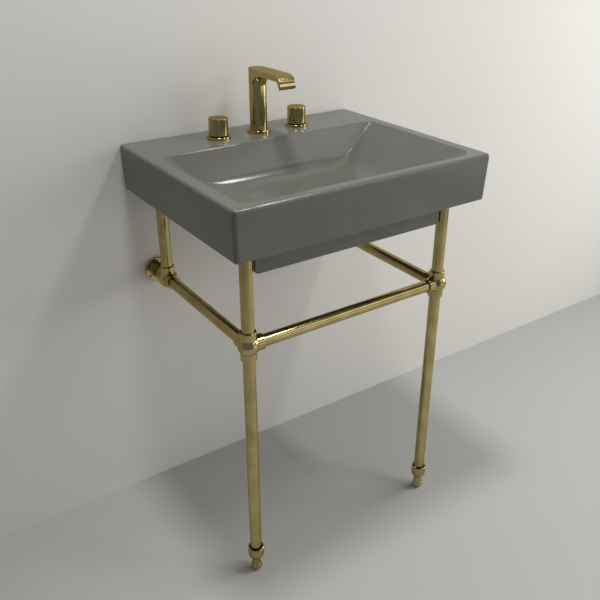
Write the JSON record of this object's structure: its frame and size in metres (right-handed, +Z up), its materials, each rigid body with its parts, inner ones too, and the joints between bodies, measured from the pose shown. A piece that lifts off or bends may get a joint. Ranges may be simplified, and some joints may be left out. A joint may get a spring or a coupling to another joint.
{
  "type": "console sink",
  "caption": "Rectangular ceramic basin that hangs on a wall and rests on a brass tube stand with levelling feet, with a deck-mounted tap set and a lift-up drain stopper.",
  "frame": {"origin": "Middle of the two wall-bolt holes, on the basin's back face where it meets the wall.", "axes": "+Z is up, +Y points into the wall, -Y is the front of the basin, +X is to the right seen from the front."},
  "size_m": [0.6026, 0.4858, 1.0366],
  "materials": {
    "glazed_ceramic": "satin grey glaze",
    "brass": "polished brass, lightly brushed",
    "raw_brass": "machined brass, hidden pieces",
    "steel": "plain steel",
    "black_rubber": "matt black rubber",
    "dark_plastic": "matt dark plastic"
  },
  "bodies": {
    "stand_and_basin": {"basin": "glazed_ceramic", "basin_pads": "black_rubber", "cold_feed_tube": "raw_brass", "cold_nut": "raw_brass", "cold_ring": "brass", "cold_valve_body": "raw_brass", "cold_washer": "steel", "drain_body": "brass", "drain_gasket_lower": "black_rubber", "drain_gasket_upper": "black_rubber", "drain_nut": "raw_brass", "drain_tailpiece": "brass", "fitting_screws": "steel", "front_rail": "brass", "hot_feed_tube": "raw_brass", "hot_nut": "raw_brass", "hot_ring": "brass", "hot_valve_body": "raw_brass", "hot_washer": "steel", "left_front_fitting": "brass", "left_front_upright": "brass", "left_leg": "brass", "left_leg_insert": "raw_brass", "left_rear_fitting": "brass", "left_rear_upright": "brass", "left_side_rail": "brass", "left_wall_flange": "brass", "left_wall_nipple": "brass", "right_front_fitting": "brass", "right_front_upright": "brass", "right_leg": "brass", "right_leg_insert": "raw_brass", "right_rear_fitting": "brass", "right_rear_upright": "brass", "right_side_rail": "brass", "right_wall_flange": "brass", "right_wall_nipple": "brass", "spout_body": "brass", "spout_nut": "raw_brass", "spout_outlet": "dark_plastic", "spout_ring": "brass", "spout_shank": "raw_brass", "spout_tee": "raw_brass", "spout_washer": "steel"},
    "hot_handle": {"hot_handle": "brass", "hot_stem": "raw_brass", "hot_set_screw": "steel"},
    "cold_handle": {"cold_handle": "brass", "cold_stem": "raw_brass", "cold_set_screw": "steel"},
    "stopper": {"drain_stopper": "brass", "stopper_seal": "black_rubber"},
    "left_foot": {"left_foot": "brass", "left_foot_stud": "steel"},
    "right_foot": {"right_foot": "brass", "right_foot_stud": "steel"}
  },
  "joints": [
    {"name": "hot_handle_turn", "type": "hinge", "parent": "stand_and_basin", "child": "hot_handle", "pos_m": [-0.1016, -0.07, 0.086], "axis": [0, 0, 1], "range_deg": [0, 90]},
    {"name": "cold_handle_turn", "type": "hinge", "parent": "stand_and_basin", "child": "cold_handle", "pos_m": [0.1016, -0.07, 0.086], "axis": [0, 0, 1], "range_deg": [-90, 0]},
    {"name": "stopper_lift", "type": "slide", "parent": "stand_and_basin", "child": "stopper", "axis": [0, 0, 1], "range_m": [0, 0.009]},
    {"name": "left_foot_level", "type": "slide", "parent": "stand_and_basin", "child": "left_foot", "axis": [0, 0, 1], "range_m": [-0.01, 0.01]},
    {"name": "right_foot_level", "type": "slide", "parent": "stand_and_basin", "child": "right_foot", "axis": [0, 0, 1], "range_m": [-0.01, 0.01]}
  ]
}
